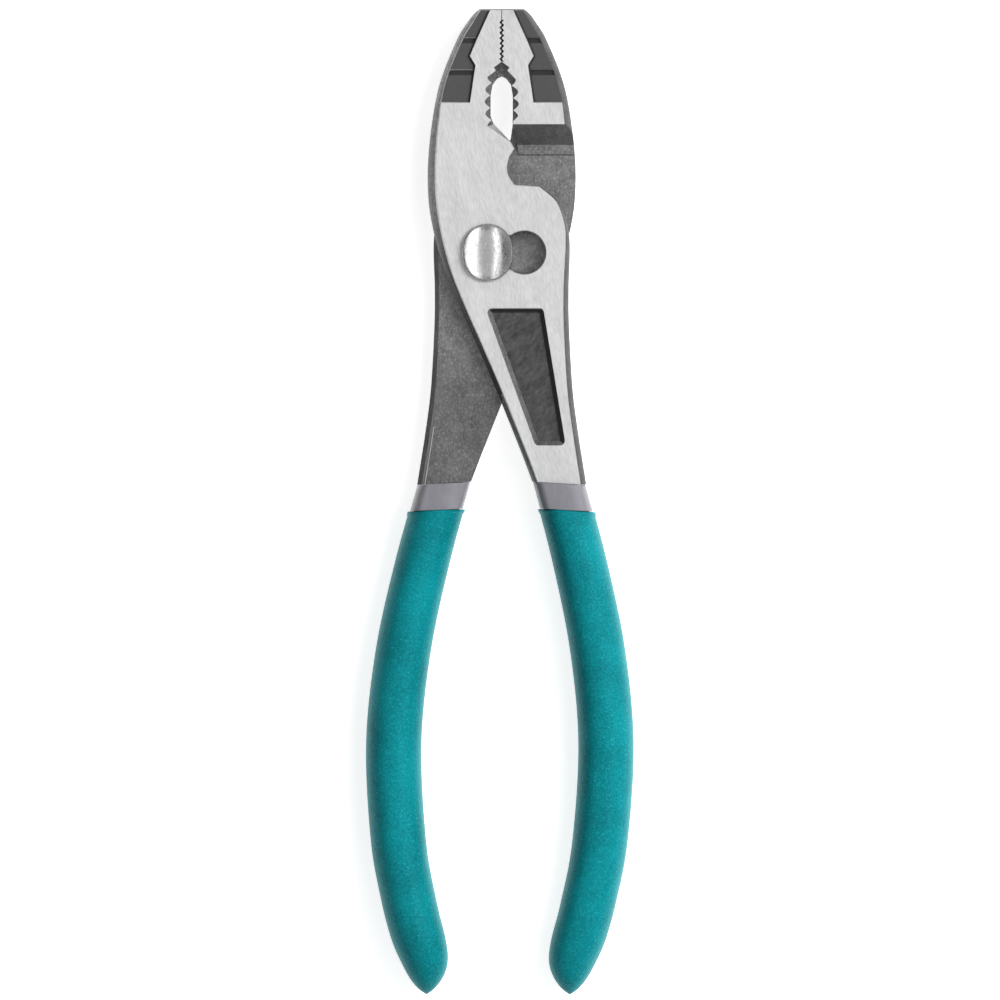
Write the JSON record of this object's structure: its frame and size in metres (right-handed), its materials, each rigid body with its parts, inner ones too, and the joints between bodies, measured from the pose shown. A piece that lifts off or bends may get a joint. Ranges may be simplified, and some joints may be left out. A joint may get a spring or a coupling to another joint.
{
  "type": "slip joint pliers",
  "caption": "Slip joint pliers with toothed jaws, a wire-cutting notch, a keyed pivot bolt in a two-place slot and dipped oval grips.",
  "frame": {"origin": "on the pivot axis, in the plane that the bolt's end, the nut and the grips rest on", "axes": "+Y towards the tips of the jaws, +X to the right, +Z out of the front face, where the bolt's head is"},
  "size_m": [0.0545, 0.2002, 0.0142],
  "materials": {
    "ground_steel": "ground and satin on the flat face, dark as forged on the sides",
    "forged_steel": "dark as forged, rough, with ground faces on the jaw and the back",
    "bolt_chrome": "bright, with light scratches",
    "nut_steel": "plated, satin",
    "liner_grey": "smooth and glossy dipped vinyl",
    "grip_teal": "satin dipped vinyl with a fine grain"
  },
  "bodies": {
    "rear": {"rear_lever": "forged_steel", "rear_grip_liner": "liner_grey", "rear_grip": "grip_teal"},
    "bolt": {"pivot_bolt": "bolt_chrome", "pivot_nut": "nut_steel"},
    "front": {"front_lever": "ground_steel", "front_grip_liner": "liner_grey", "front_grip": "grip_teal"}
  },
  "joints": [
    {"name": "pivot_turn", "type": "hinge", "parent": "rear", "child": "bolt", "pos_m": [0, 0, 0.0066], "axis": [0, 0, 1], "range_deg": [0, 40]},
    {"name": "slip_slide", "type": "slide", "parent": "bolt", "child": "front", "axis": [-1, 0, 0], "range_m": [0, 0.0074]}
  ]
}
